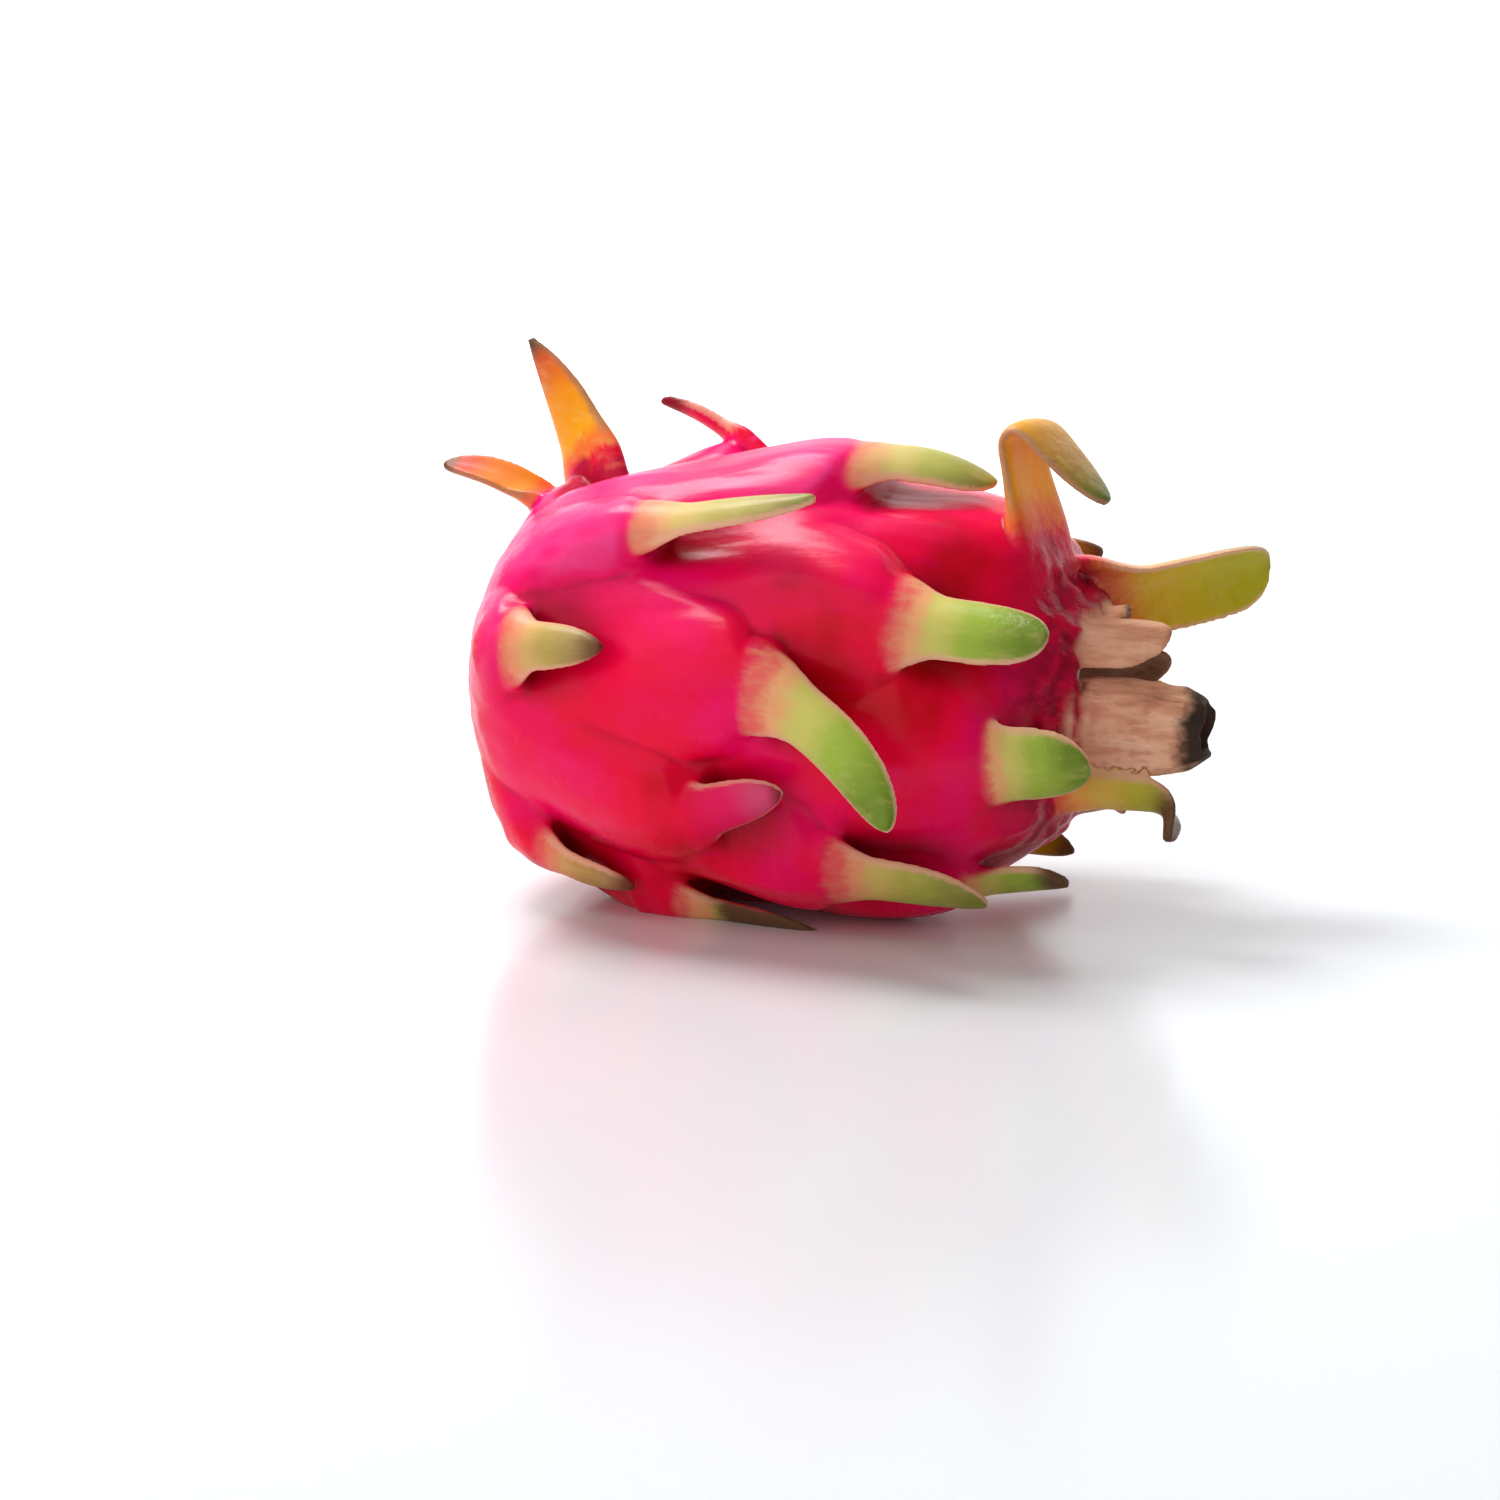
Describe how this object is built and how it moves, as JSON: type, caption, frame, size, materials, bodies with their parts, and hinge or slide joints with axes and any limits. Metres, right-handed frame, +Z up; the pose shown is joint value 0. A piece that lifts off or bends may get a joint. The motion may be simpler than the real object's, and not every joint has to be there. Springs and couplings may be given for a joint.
{
  "type": "dragon fruit",
  "caption": "Whole red dragon fruit lying on its side: an oval body with leaf-like scales, a recessed crown with dried flower remains, and a cut stem stub.",
  "frame": {"origin": "middle of the flat spot that the fruit rests on, under its widest place", "axes": "+X along the fruit's axis from the stem end to the crown, +Z up, -Y towards the front"},
  "size_m": [0.1561, 0.1155, 0.1027],
  "materials": {
    "fruit_skin": "waxy magenta skin with a soft gloss, running to green and tan on the scales"
  },
  "bodies": {
    "root": {"dragon_fruit": "fruit_skin"}
  },
  "joints": []
}
